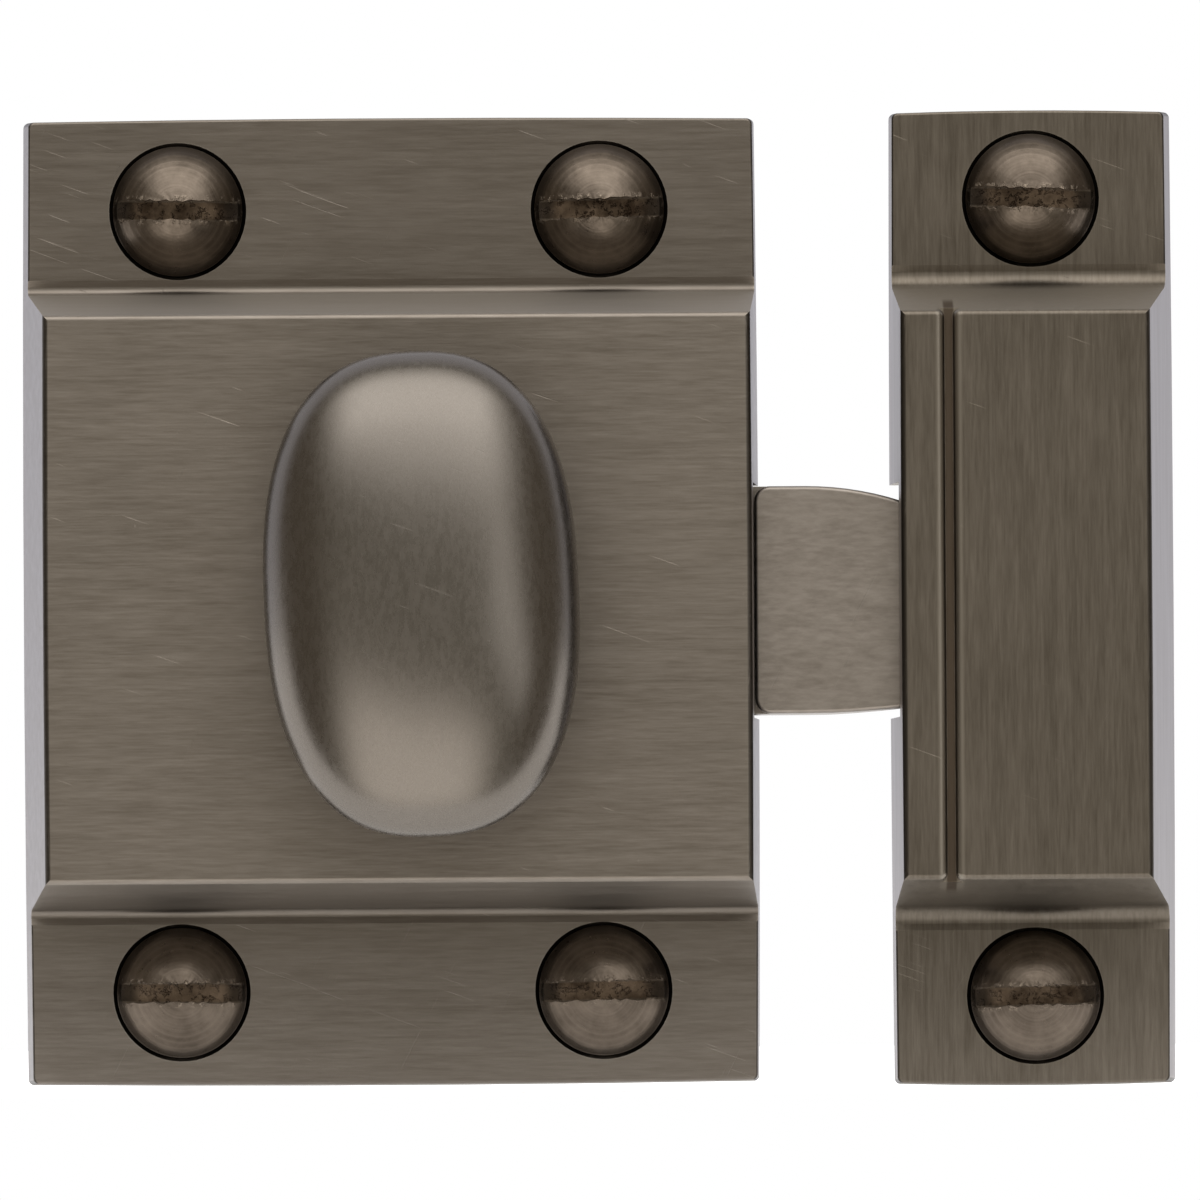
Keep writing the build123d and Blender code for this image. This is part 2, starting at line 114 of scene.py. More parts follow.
# Wood screws
HEAD_R = 3.35 * MM
HEAD_H = 2.3 * MM
HEAD_EDGE = 0.3 * MM
DOME_START = 0.5 * MM
HEAD_STEPS = 10
SCREW_SIDES = 64
SLOT_W = 1.0 * MM
SLOT_DEPTH = 1.5 * MM
SLOT_RAGGED = 0.07 * MM
SLOT_SEED = 7
SLOT_CUTS = 36
BURR = 0.05 * MM
CUT_OVER = 1.0 * MM
SHANK_R = 1.75 * MM
CORE_R = 1.2 * MM
CORE_INSET = 0.1 * MM
THREAD_L = 7.0 * MM
POINT_L = 3.2 * MM
POINT_TIP_R = 0.01 * MM
POINT_RINGS = ((0.72, 0.26), (0.35, 0.62), (0.0, 1.0))
THREAD_START = 0.5 * MM
THREAD_PITCH = 1.6 * MM
RIDGE_HALF = 0.24
RIDGE_FIRST = 0.65
RIDGE_LAST = 0.03
TURN_STEPS = 28
SCREW_SMOOTH_DEG = 35
SCREW_SLANTS = (1.0, -1.5, 0.5, -1.0, 2.0, -1.5)

# Spring
SPRING_TURNS = 7
SPRING_WIRE = 0.45 * MM
SPRING_OD = 5.0 * MM
WIRE_SIDES = 8
SPRING_SMOOTH_DEG = 50

# Camera: a long lens, a little below the middle, as the photograph was taken
PHOTO_PIXELS = 1200
PIXELS_PER_MM = 19.41
VIEW_CENTRE = Vector((10.82 * MM, -6 * MM, -0.09 * MM))
VIEW_DISTANCE = 1.0
VIEW_RISE = -1.15
VIEW_ROLL = -0.35
SENSOR_WIDTH = 36.0

# Finishes: heights on the castings where the recesses' painted shade and the groove's lighter
# lips and painted shade begin
RECESS_SHADE_START, RECESS_SHADE_FULL = -8 * MM, -4 * MM
RAISED_START, RAISED_FULL = -6 * MM, -8 * MM
WALL_ROUGH = 0.3
WORN_REACH = 0.12 * MM
SPECK_SPACING = 2.6 * MM
SPECK_SIZE = 0.08 * MM
# Painted reflection on the castings' sideways walls, and painted shade on the edges that turn
# towards them
FLANK_REFLECTION_TONE = (0.26, 0.24, 0.235)
SHADOW_TONE = (0.03, 0.026, 0.022)
# Painted shade in the keep's groove
GROOVE_SHADE_TONE = (0.055, 0.033, 0.018)
SCREW_DARK, SCREW_LIGHT = (0.085, 0.068, 0.053), (0.15, 0.122, 0.097)
SCREW_RINGS = (0.19, 0.155, 0.125)
SCUFF_TONE = (0.40, 0.33, 0.26)
# Screw slots: painted darker, partly as painted shade and partly as bare brown metal; the slot's
# ends and the head's rim carry painted shade
SLOT_DARK, SLOT_LIGHT = (0.05, 0.034, 0.023), (0.19, 0.14, 0.10)
SLOT_END_SHADE = (0.02, 0.016, 0.013)
HEAD_RIM_SHADE = (0.03, 0.025, 0.021)

# Studio
FLOOR_W = 0.8
FLOOR_L = 0.8
FLOOR_FRONT = 0.028
FLOOR_DROP = 0.2 * MM
FLOOR_GLOW = 0.7
FLOOR_TONE = 0.8
FRONT_LIGHT = (0.38, 0.355, 0.30)
SIDE_LIGHT = (0.25, 0.215, 0.17)
SKY_LIGHT = (2.1, 2.06, 2.0)
LOW_LIGHT = (1.95, 1.87, 1.76)
BACK_LIGHT = (0.8, 0.8, 0.86)
SKY_SLANT = 0.2
SKY_START, SKY_FULL = 0.06, 0.62
LOW_START, LOW_FULL = -0.1, -0.46
ABOVE_LIGHT = 0.5
ABOVE_PLACE, ABOVE_SIZE = (0.0, -0.72, 1.02), (1.5, 0.7)
RIGHT_LIGHT = 0.9
RIGHT_PLACE, RIGHT_SIZE = (0.80, -1.02, -0.09), (0.70, 0.36)


def make_camera():
    """The photograph's view, with no shift and no depth of field."""
    data = bpy.data.cameras.new("camera")
    data.sensor_width = SENSOR_WIDTH
    data.lens = SENSOR_WIDTH * VIEW_DISTANCE / (PHOTO_PIXELS / PIXELS_PER_MM * MM)
    data.clip_start = 0.01
    camera = bpy.data.objects.new("camera", data)
    bpy.context.scene.collection.objects.link(camera)
    rise = math.radians(VIEW_RISE)
    away = Vector((0, -math.cos(rise), math.sin(rise)))
    camera.matrix_world = (
        Matrix.Translation(VIEW_CENTRE + away * VIEW_DISTANCE)
        @ Matrix.Rotation(math.radians(90) - rise, 4, "X")
        @ Matrix.Rotation(math.radians(VIEW_ROLL), 4, "Z")
    )
    bpy.context.scene.camera = camera


# Nodes for the finishes
def link(tree, source, target):
    """Joins two sockets."""
    tree.links.new(source, target)


def node(tree, kind, **values):
    """A new shader node with its settings and its inputs filled in by name."""
    made = tree.nodes.new(kind)
    for key, value in values.items():
        name = key.replace("_", " ")
        if hasattr(made, key):
            setattr(made, key, value)
        elif name in made.inputs:
            made.inputs[name].default_value = value
    return made


def blank_material(name):
    """A material with one metal shader, and its tree."""
    material = bpy.data.materials.new(name)
    material.use_nodes = True
    tree = material.node_tree
    shader = tree.nodes["Principled BSDF"]
    shader.inputs["Metallic"].default_value = 1.0
    return material, tree, shader


def placed(tree, scale, turn=(0, 0, 0)):
    """Object coordinates, turned and then scaled."""
    coordinates = node(tree, "ShaderNodeTexCoord")
    mapping = node(tree, "ShaderNodeMapping", vector_type="TEXTURE")
    mapping.inputs["Rotation"].default_value = turn
    mapping.inputs["Scale"].default_value = tuple(1 / s for s in scale)
    link(tree, coordinates.outputs["Object"], mapping.inputs["Vector"])
    return mapping.outputs["Vector"]


def noise(tree, vector, detail=3.0, roughness=0.55):
    """A noise value on these coordinates."""
    made = node(tree, "ShaderNodeTexNoise", Detail=detail, Roughness=roughness)
    made.inputs["Scale"].default_value = 1.0
    link(tree, vector, made.inputs["Vector"])
    return made.outputs["Fac"]


def ring_noise(tree, value):
    """A noise along one value, for turned rings."""
    made = node(tree, "ShaderNodeTexNoise", noise_dimensions="1D", Detail=2.0)
    made.inputs["Scale"].default_value = 1.0
    link(tree, value, made.inputs["W"])
    return made.outputs["Fac"]


def stretch(tree, value, low, high, to_low=0.0, to_high=1.0):
    """The value between two limits, spread over two new ones."""
    made = node(tree, "ShaderNodeMapRange")
    made.inputs["From Min"].default_value = low
    made.inputs["From Max"].default_value = high
    made.inputs["To Min"].default_value = to_low
    made.inputs["To Max"].default_value = to_high
    link(tree, value, made.inputs["Value"])
    return made.outputs["Result"]


def eased(tree, value, low, high):
    """A smooth step from 0 at one limit to 1 at the other."""
    made = node(tree, "ShaderNodeMapRange", interpolation_type="SMOOTHSTEP")
    made.inputs["From Min"].default_value = low
    made.inputs["From Max"].default_value = high
    link(tree, value, made.inputs["Value"])
    return made.outputs["Result"]


def worked(tree, operation, first, second):
    """Two values put through a math node; the second may be a number."""
    made = node(tree, "ShaderNodeMath", operation=operation)
    link(tree, first, made.inputs[0])
    if isinstance(second, bpy.types.NodeSocket):
        link(tree, second, made.inputs[1])
    else:
        made.inputs[1].default_value = second
    return made.outputs[0]


def mixed(tree, share, first, second):
    """Two colours mixed by a share; each may be a colour or a socket."""
    made = node(tree, "ShaderNodeMix", data_type="RGBA")
    link(tree, share, made.inputs[0])
    for slot_index, colour in ((6, first), (7, second)):
        if isinstance(colour, bpy.types.NodeSocket):
            link(tree, colour, made.inputs[slot_index])
        else:
            made.inputs[slot_index].default_value = (*colour, 1.0)
    return made.outputs[2]


def tinted(tree, tone, share, most, colour):
    """The tone, mixed towards a colour by a share of at most this much."""
    return mixed(tree, worked(tree, "MULTIPLY", share, most), tone, colour)


def bumped(tree, shader, layers):
    """Bump from a chain of heights, each with its own depth in metres."""
    normal = None
    for height, depth in layers:
        bump = node(tree, "ShaderNodeBump", Strength=1.0, Distance=abs(depth), invert=depth < 0)
        link(tree, height, bump.inputs["Height"])
        if normal:
            link(tree, normal, bump.inputs["Normal"])
        normal = bump.outputs["Normal"]
    link(tree, normal, shader.inputs["Normal"])


def worn_edges(tree, radius):
    """Near 1 where the surface turns sharply within this radius, and 0 on flats."""
    bevel = node(tree, "ShaderNodeBevel", samples=4)
    bevel.inputs["Radius"].default_value = radius
    geometry = node(tree, "ShaderNodeNewGeometry")
    facing = node(tree, "ShaderNodeVectorMath", operation="DOT_PRODUCT")
    link(tree, bevel.outputs["Normal"], facing.inputs[0])
    link(tree, geometry.outputs["Normal"], facing.inputs[1])
    return stretch(tree, facing.outputs["Value"], 0.998, 0.93)


def specks(tree, spacing, size, share):
    """Small specks in a share of evenly scattered places."""
    cells = node(tree, "ShaderNodeTexVoronoi")
    cells.inputs["Scale"].default_value = 1.0
    link(tree, placed(tree, (1 / spacing,) * 3), cells.inputs["Vector"])
    dots = stretch(tree, cells.outputs["Distance"], size / spacing, 0.4 * size / spacing)
    chosen = node(tree, "ShaderNodeSeparateColor")
    link(tree, cells.outputs["Color"], chosen.inputs["Color"])
    kept = stretch(tree, chosen.outputs["Red"], 1 - share, 1 - share / 2)
    return worked(tree, "MULTIPLY", dots, kept)


def scratches(tree, slant, share):
    """Sparse hair lines, slanted by this much from the level."""
    turn = (0, slant, 0)
    lines = noise(tree, placed(tree, (130, 9000, 9000), turn), detail=1, roughness=0.4)
    patches = noise(tree, placed(tree, (420, 420, 420), turn), detail=1)
    sharp = stretch(tree, lines, 1 - share, 1.04 - share)
    return worked(tree, "MULTIPLY", sharp, stretch(tree, patches, 0.5, 0.62))


def brushed_plate(
    name, light, dark, wear_and_highlight, grain, rough, streak, depth, recess_shade=0.0, walls=0.0, groove=0.0
):
    """Satin bronze plate over a casting, brushed along the grain's longest way."""
    material, tree, shader = blank_material(name)
    clouds = noise(tree, placed(tree, (90, 90, 90)), detail=4, roughness=0.6)
    fine = noise(tree, placed(tree, grain), detail=4, roughness=0.65)
    broad = noise(tree, placed(tree, tuple(g / 4 for g in grain)), detail=3)
    tone = mixed(tree, stretch(tree, clouds, 0.32, 0.68), dark, light)
    shade = stretch(tree, fine, 0.32, 0.68)
    tone = tinted(tree, tone, shade, streak, wear_and_highlight)
    shade = stretch(tree, broad, 0.32, 0.68)
    tone = tinted(tree, tone, shade, streak / 3, wear_and_highlight)
    coordinates = node(tree, "ShaderNodeTexCoord")
    place = node(tree, "ShaderNodeSeparateXYZ")
    link(tree, coordinates.outputs["Object"], place.inputs["Vector"])
    # Painted shade: the plate darkens towards the mounting face, over the flanges and recesses
    low = stretch(tree, place.outputs["Y"], RECESS_SHADE_START, RECESS_SHADE_FULL)
    tone = tinted(tree, tone, low, recess_shade, tuple(0.6 * channel for channel in dark))
    # Walls that face up or down are painted lighter as a painted highlight, walls that face
    # sideways a lighter grey as a painted reflection, and turning edges darker as painted shade
    facing = node(tree, "ShaderNodeSeparateXYZ")
    link(tree, coordinates.outputs["Normal"], facing.inputs["Vector"])
    upper = stretch(tree, facing.outputs["Z"], 0.7, 0.95, 0, walls)
    lower = stretch(tree, facing.outputs["Z"], -0.7, -0.95, 0, 0.4 * walls)
    wall = worked(tree, "ADD", upper, lower)
    # Painted highlight on walls that face up or down
    tone = mixed(tree, wall, tone, wear_and_highlight)
    # Painted reflection on walls that face sideways
    sideways = worked(tree, "ABSOLUTE", facing.outputs["X"], 0)
    flank_reflection = worked(tree, "MULTIPLY", eased(tree, sideways, 0.9, 0.98), walls)
    tone = mixed(tree, flank_reflection, tone, FLANK_REFLECTION_TONE)
    # Painted shade on the edges that turn from the front to the sideways walls
    turning_shade = worked(tree, "MULTIPLY", eased(tree, sideways, 0.1, 0.35), walls)
    turning_shade = worked(tree, "MULTIPLY", turning_shade, eased(tree, sideways, 0.98, 0.88))
    tone = tinted(tree, tone, turning_shade, 0.8, SHADOW_TONE)
    if groove:
        from_groove = worked(tree, "SUBTRACT", place.outputs["X"], groove)
        from_groove = worked(tree, "ABSOLUTE", from_groove, 0)
        raised = eased(tree, place.outputs["Y"], RAISED_START, RAISED_FULL)
        lips = eased(tree, from_groove, LIPS_END, LIPS_FULL)
        lips = worked(tree, "MULTIPLY", lips, raised)
        tone = tinted(tree, tone, lips, 0.8, wear_and_highlight)
        # Painted shade in the groove, dark brown
        groove_shade = eased(tree, from_groove, GROOVE_SHADE_END, GROOVE_SHADE_FULL)
        groove_shade = worked(tree, "MULTIPLY", groove_shade, raised)
        tone = tinted(tree, tone, groove_shade, 0.75, GROOVE_SHADE_TONE)
    # Specks, hair lines and rubbed edges
    dots = specks(tree, SPECK_SPACING, SPECK_SIZE, 0.2)
    marks = worked(tree, "MAXIMUM", scratches(tree, 0.35, 0.27), dots)
    marks = worked(tree, "MAXIMUM", marks, scratches(tree, -1.1, 0.26))
    tone = tinted(tree, tone, marks, 0.14, wear_and_highlight)
    patches = stretch(tree, noise(tree, placed(tree, (900, 900, 900))), 0.3, 0.6)
    edges = worked(tree, "MULTIPLY", worn_edges(tree, WORN_REACH), patches)
    tone = tinted(tree, tone, edges, 0.5, wear_and_highlight)
    link(tree, tone, shader.inputs["Base Color"])
    rougher = stretch(tree, broad, 0.3, 0.7, rough - 0.03, rough + 0.04)
    rougher = worked(tree, "ADD", rougher, worked(tree, "MULTIPLY", wall, WALL_ROUGH))
    link(tree, rougher, shader.inputs["Roughness"])
    bumped(
        tree, shader, ((fine, depth), (broad, depth), (clouds, 3 * depth), (marks, -2 * depth))
    )
    return material


def screw_metal(name):
    """Dark bronze plate with turned rings, brown stains and a scuffed slot; the slot is painted
    dark, partly as painted shade and partly as bare brown metal, and the slot's ends and the
    head's rim carry painted shade.
    """
    material, tree, shader = blank_material(name)
    local = node(tree, "ShaderNodeAttribute", attribute_name="screw_place")
    parts = node(tree, "ShaderNodeSeparateXYZ")
    link(tree, local.outputs["Vector"], parts.inputs["Vector"])
    flat = node(tree, "ShaderNodeCombineXYZ")
    link(tree, parts.outputs["X"], flat.inputs["X"])
    link(tree, parts.outputs["Z"], flat.inputs["Z"])
    out = node(tree, "ShaderNodeVectorMath", operation="LENGTH")
    link(tree, flat.outputs["Vector"], out.inputs[0])
    rings = ring_noise(tree, worked(tree, "MULTIPLY", out.outputs["Value"], 6.0))
    clouds = noise(tree, placed(tree, (500, 500, 500)), detail=4, roughness=0.65)
    grit = noise(tree, placed(tree, (2600, 2600, 2600)), detail=4, roughness=0.7)
    tone = stretch(tree, clouds, 0.35, 0.65)
    tone = mixed(tree, tone, SCREW_DARK, SCREW_LIGHT)
    tone = tinted(tree, tone, stretch(tree, rings, 0.35, 0.75), 0.3, SCREW_RINGS)
    # Places on the screw are in millimetres: the slot runs along X and its sides face Z
    height = worked(tree, "ABSOLUTE", parts.outputs["Z"], 0)
    near_slot = stretch(tree, height, 0.5 * SLOT_W / MM + 0.3, 0.5 * SLOT_W / MM)
    front = eased(tree, parts.outputs["Y"], -2.6, -3.0)
    scuffs = worked(tree, "MULTIPLY", near_slot, stretch(tree, grit, 0.54, 0.62))
    scuffs = worked(tree, "MULTIPLY", scuffs, front)
    tone = tinted(tree, tone, scuffs, 0.6, SCUFF_TONE)
    # Painted shade in the slot, mixed with the brown of bare metal
    in_slot = stretch(tree, height, 0.5 * SLOT_W / MM, 0.4 * SLOT_W / MM)
    in_slot = worked(tree, "MULTIPLY", in_slot, front)
    slot_stain_and_shade = mixed(tree, stretch(tree, clouds, 0.35, 0.6), SLOT_DARK, SLOT_LIGHT)
    # Painted shade at the slot's ends
    slot_end_shade = eased(tree, worked(tree, "ABSOLUTE", parts.outputs["X"], 0), 1.9, 2.7)
    slot_stain_and_shade = tinted(tree, slot_stain_and_shade, slot_end_shade, 0.85, SLOT_END_SHADE)
    tone = mixed(tree, in_slot, tone, slot_stain_and_shade)
    # Painted shade round the head's steep rim
    rim_shade = eased(tree, out.outputs["Value"], 0.84 * HEAD_R / MM, 0.98 * HEAD_R / MM)
    tone = tinted(tree, tone, rim_shade, 0.6, HEAD_RIM_SHADE)
    link(tree, tone, shader.inputs["Base Color"])
    link(tree, stretch(tree, grit, 0.3, 0.7, 0.26, 0.38), shader.inputs["Roughness"])
    bumped(tree, shader, ((rings, 6e-6), (grit, 6e-6), (scuffs, 3.0e-5), (clouds, 2.5e-5)))
    return material


def plain_metal(name, light, dark, rough):
    """An inner piece's bare or plated metal, with a mottled finish and fine marks."""
    material, tree, shader = blank_material(name)
    clouds = noise(tree, placed(tree, (260, 260, 260)), detail=4, roughness=0.6)
    fine = noise(tree, placed(tree, (2400, 2400, 2400)), detail=4, roughness=0.65)
    tone = mixed(tree, stretch(tree, clouds, 0.35, 0.65), dark, light)
    tone = tinted(tree, tone, worn_edges(tree, 0.1 * MM), 0.4, light)
    link(tree, tone, shader.inputs["Base Color"])
    rougher = stretch(tree, fine, 0.3, 0.7, rough - 0.08, rough + 0.08)
    link(tree, rougher, shader.inputs["Roughness"])
    bumped(tree, shader, ((fine, 3e-6), (clouds, 8e-6)))
    return material


def give(piece, material):
    """The piece shows this material all over."""
    piece.data.materials.clear()
    piece.data.materials.append(material)


# Modelling: a ring of corners is extruded from place to place
def start_ring(name, sides):
    """A ring of this many corners in edit mode, each corner marked with its turn."""
    bpy.ops.object.select_all(action="DESELECT")
    bpy.ops.mesh.primitive_circle_add(vertices=sides, radius=1.0)
    piece = bpy.context.object
    piece.name = name
    piece.data.name = name
    bpy.ops.object.mode_set(mode="EDIT")
    mesh = bmesh.from_edit_mesh(piece.data)
    turn = mesh.verts.layers.float.new("turn")
    for corner in mesh.verts:
        corner[turn] = math.atan2(corner.co.y, corner.co.x)
    bmesh.update_edit_mesh(piece.data)
    bpy.ops.mesh.select_all(action="SELECT")
    return piece


def set_ring(piece, place):
    """Moves the selected ring's corners to where place(turn) says."""
    mesh = bmesh.from_edit_mesh(piece.data)
    turn = mesh.verts.layers.float["turn"]
    for corner in mesh.verts:
        if corner.select:
            corner.co = place(corner[turn])
    bmesh.update_edit_mesh(piece.data)


def next_ring(piece, place):
    """Extrudes the selected ring and moves the new one."""
    bpy.ops.mesh.extrude_region_move()
    set_ring(piece, place)


def close_ring():
    """Closes the selected ring with a pole."""
    bpy.ops.mesh.extrude_region_move()
    bpy.ops.mesh.merge(type="CENTER")


def close_start():
    """Closes the ring that is still open."""
    bpy.ops.mesh.select_all(action="DESELECT")
    bpy.ops.mesh.select_non_manifold(
        use_wire=False, use_multi_face=False, use_non_contiguous=False, use_verts=False
    )
    close_ring()


def finish_mesh(piece, smooth_below):
    """Turns all faces outwards, leaves edit mode and smooths the gentle edges."""
    bpy.ops.mesh.select_all(action="SELECT")
    bpy.ops.mesh.remove_doubles(threshold=1e-7)
    bpy.ops.mesh.select_all(action="SELECT")
    bpy.ops.mesh.normals_make_consistent(inside=False)
    bpy.ops.object.mode_set(mode="OBJECT")
    if "turn" in piece.data.attributes:
        piece.data.attributes.remove(piece.data.attributes["turn"])
    bpy.ops.object.shade_smooth_by_angle(angle=math.radians(smooth_below))


def knob_ring(height, half_w, half_h, fullness):
    """A rule for one ring of the knob: a full oval, set a little askew on the spindle."""

    def place(turn):
        across, along = math.cos(turn), math.sin(turn)
        x = half_w * math.copysign(abs(across) ** (2 / fullness), across)
        z = half_h * math.copysign(abs(along) ** (2 / fullness), along)
        return Vector(
            (
                spindle_x + x * math.cos(KNOB_SET) - z * math.sin(KNOB_SET),
                -height,
                x * math.sin(KNOB_SET) + z * math.cos(KNOB_SET),
            )
        )

    return place


def make_knob():
    """The knob: a full oval head on a neck that flares into its collar, bored for the spindle."""
    base = -knob_high.y
    middle = -knob_low.y - KNOB_FRONT
    collar_top = base + COLLAR_H
    neck_end = middle - KNOB_BACK
    knob = start_ring("oval_knob", KNOB_SIDES)
    set_ring(knob, knob_ring(base + BORE_DEPTH, BORE_R, BORE_R, 2))
    next_ring(knob, knob_ring(base, BORE_R, BORE_R, 2))
    next_ring(knob, knob_ring(base, COLLAR_R - COLLAR_EDGE, COLLAR_R - COLLAR_EDGE, 2))
    next_ring(knob, knob_ring(base + COLLAR_EDGE, COLLAR_R, COLLAR_R, 2))
    next_ring(knob, knob_ring(collar_top - COLLAR_EDGE, COLLAR_R, COLLAR_R, 2))
    for step in range(NECK_STEPS + 1):
        share = step / NECK_STEPS
        radius = NECK_R + (COLLAR_R - COLLAR_EDGE - NECK_R) * (1 - share) ** 2
        height = collar_top + (neck_end - collar_top) * share
        next_ring(knob, knob_ring(height, radius, radius, 2))
    for step in range(BACK_STEPS, -1, -1):
        tilt = math.radians(BACK_STEP_DEG * step)
        share = math.cos(tilt) ** (2 / BACK_FULLNESS)
        height = middle - KNOB_BACK * math.sin(tilt)
        fullness = 2 + (KNOB_FULLNESS - 2) * (1 - step / (BACK_STEPS + 1))
        next_ring(knob, knob_ring(height, share * KNOB_HALF_W, share * KNOB_HALF_H, fullness))
    for step in range(CROWN_STEPS + 1):
        tilt = math.radians(CROWN_END_DEG * step / CROWN_STEPS)
        share = math.cos(tilt) ** (2 / CROWN_FULLNESS)
        height = middle + KNOB_BAND + (KNOB_FRONT - KNOB_BAND) * math.sin(tilt)
        place = knob_ring(height, share * KNOB_HALF_W, share * KNOB_HALF_H, KNOB_FULLNESS)
        next_ring(knob, place)
    close_ring()
    close_start()
    finish_mesh(knob, KNOB_SMOOTH_DEG)
    return knob


def screw_ring(height, radius):
    """A rule for one ring of a wood screw on the Y axis."""

    def place(turn):
        return Vector((radius * math.cos(turn), -height, radius * math.sin(turn)))

    return place


def make_wood_screw():
    """A round-headed slotted wood screw, its head seated in its hole and its point behind."""
    head_top = -screws_low.y
    seat = head_top - HEAD_H
    screw = start_ring("wood_screw", SCREW_SIDES)
    set_ring(screw, screw_ring(-THREAD_L - POINT_L, POINT_TIP_R))
    for behind, share in POINT_RINGS:
        next_ring(screw, screw_ring(-THREAD_L - behind * POINT_L, share * CORE_R))
    next_ring(screw, screw_ring(0, CORE_R))
    next_ring(screw, screw_ring(HEAD_EDGE, SHANK_R))
    next_ring(screw, screw_ring(seat, SHANK_R))
    next_ring(screw, screw_ring(seat, HEAD_R - HEAD_EDGE / 4))
    next_ring(screw, screw_ring(seat + HEAD_EDGE / 4, HEAD_R))
    next_ring(screw, screw_ring(seat + DOME_START - HEAD_EDGE / 4, HEAD_R))
    next_ring(screw, screw_ring(seat + DOME_START, HEAD_R - HEAD_EDGE / 4))
    dome_h = HEAD_H - DOME_START
    dome_r = (HEAD_R**2 + dome_h**2) / (2 * dome_h)
    sweep = math.asin(HEAD_R / dome_r)
    for step in range(1, HEAD_STEPS):
        tilt = sweep * (1 - step / HEAD_STEPS)
        height = head_top - dome_r * (1 - math.cos(tilt))
        next_ring(screw, screw_ring(height, dome_r * math.sin(tilt)))
    close_ring()
    close_start()
    finish_mesh(screw, SCREW_SMOOTH_DEG)
    cut_slot(screw, head_top)
    add_thread(screw)
    keep_places(screw)
    return screw


def cut_slot(screw, head_top):
    """Cuts the driver's slot with a block whose long sides are ragged, as a used slot's are."""
    ragged = random.Random(SLOT_SEED)
    bpy.ops.object.select_all(action="DESELECT")
    bpy.ops.mesh.primitive_grid_add(x_subdivisions=SLOT_CUTS, y_subdivisions=1, size=1)
    cutter = bpy.context.object
    bpy.ops.object.mode_set(mode="EDIT")
    mesh = bmesh.from_edit_mesh(cutter.data)
    for corner in mesh.verts:
        side = math.copysign(SLOT_W / 2, corner.co.y) + ragged.uniform(-1, 1) * SLOT_RAGGED
        corner.co = Vector((corner.co.x * 3 * HEAD_R, SLOT_DEPTH - head_top, side))
    bmesh.update_edit_mesh(cutter.data)
    bpy.ops.mesh.select_all(action="SELECT")
    bpy.ops.mesh.extrude_region_move(
        TRANSFORM_OT_translate={"value": (0, -SLOT_DEPTH - CUT_OVER, 0)}
    )
    bpy.ops.mesh.select_all(action="SELECT")
    bpy.ops.mesh.normals_make_consistent(inside=False)
    bpy.ops.object.mode_set(mode="OBJECT")
    bpy.ops.object.select_all(action="DESELECT")
    screw.select_set(True)
    bpy.context.view_layer.objects.active = screw
    slot = screw.modifiers.new("slot", "BOOLEAN")
    slot.operation = "DIFFERENCE"
    slot.solver = "EXACT"
    slot.object = cutter
    bpy.ops.object.modifier_apply(modifier="slot")
    bpy.data.objects.remove(cutter)
    for corner in screw.data.vertices:
        beside = abs(abs(corner.co.z) - SLOT_W / 2) < 2 * SLOT_RAGGED
        outside = corner.co.y < SLOT_DEPTH / 2 - head_top
        if beside and outside:
            corner.co.y -= ragged.random() ** 2 * BURR


def wind(piece, axis, turns, length):
    """Winds a profile round an axis and caps its ends; leaves the piece in edit mode."""
    winding = piece.modifiers.new("winding", "SCREW")
    winding.axis = axis
    winding.angle = 2 * math.pi * turns
    winding.screw_offset = length
    winding.steps = round(TURN_STEPS * turns)
    winding.render_steps = winding.steps
    bpy.ops.object.modifier_apply(modifier="winding")
    bpy.ops.object.mode_set(mode="EDIT")
    mesh = bmesh.from_edit_mesh(piece.data)
    bmesh.ops.holes_fill(mesh, edges=[edge for edge in mesh.edges if edge.is_boundary])
    bmesh.update_edit_mesh(piece.data)


def add_thread(screw):
    """Winds a ridge round the screw's core that runs out at its start and at the point."""
    bpy.ops.object.select_all(action="DESELECT")
    bpy.ops.mesh.primitive_circle_add(vertices=3, radius=1)
    ridge = bpy.context.object
    foot = CORE_R - CORE_INSET
    sides = ((foot, -RIDGE_HALF), (SHANK_R, 0.0), (foot, RIDGE_HALF))
    for corner, (radius, along) in zip(ridge.data.vertices, sides):
        corner.co = Vector((radius, THREAD_START + along * THREAD_PITCH, 0))
    length = THREAD_L + POINT_L - 3 * THREAD_START
    wind(ridge, "Y", length / THREAD_PITCH, length)
    mesh = bmesh.from_edit_mesh(ridge.data)
    for corner in mesh.verts:
        grown = min(1, max(0, (corner.co.y - THREAD_START) / THREAD_PITCH))
        grown = RIDGE_FIRST + (1 - RIDGE_FIRST) * grown
        left = 1 - max(0, corner.co.y - THREAD_L + THREAD_START) / (POINT_L + THREAD_START)
        share = min(grown, max(left, RIDGE_LAST))
        corner.co = Vector((corner.co.x * share, corner.co.y, corner.co.z * share))
    bmesh.update_edit_mesh(ridge.data)
    finish_mesh(ridge, SCREW_SMOOTH_DEG)
    bpy.ops.object.select_all(action="DESELECT")
    ridge.select_set(True)
    screw.select_set(True)
    bpy.context.view_layer.objects.active = screw
    bpy.ops.object.join()
    bpy.ops.object.shade_smooth_by_angle(angle=math.radians(SCREW_SMOOTH_DEG))


def keep_places(screw):
    """Stores each corner's place on the screw, in millimetres, for the finish to follow."""
    places = screw.data.attributes.new("screw_place", "FLOAT_VECTOR", "POINT")
    for corner, place in zip(screw.data.vertices, places.data):
        place.vector = corner.co / MM


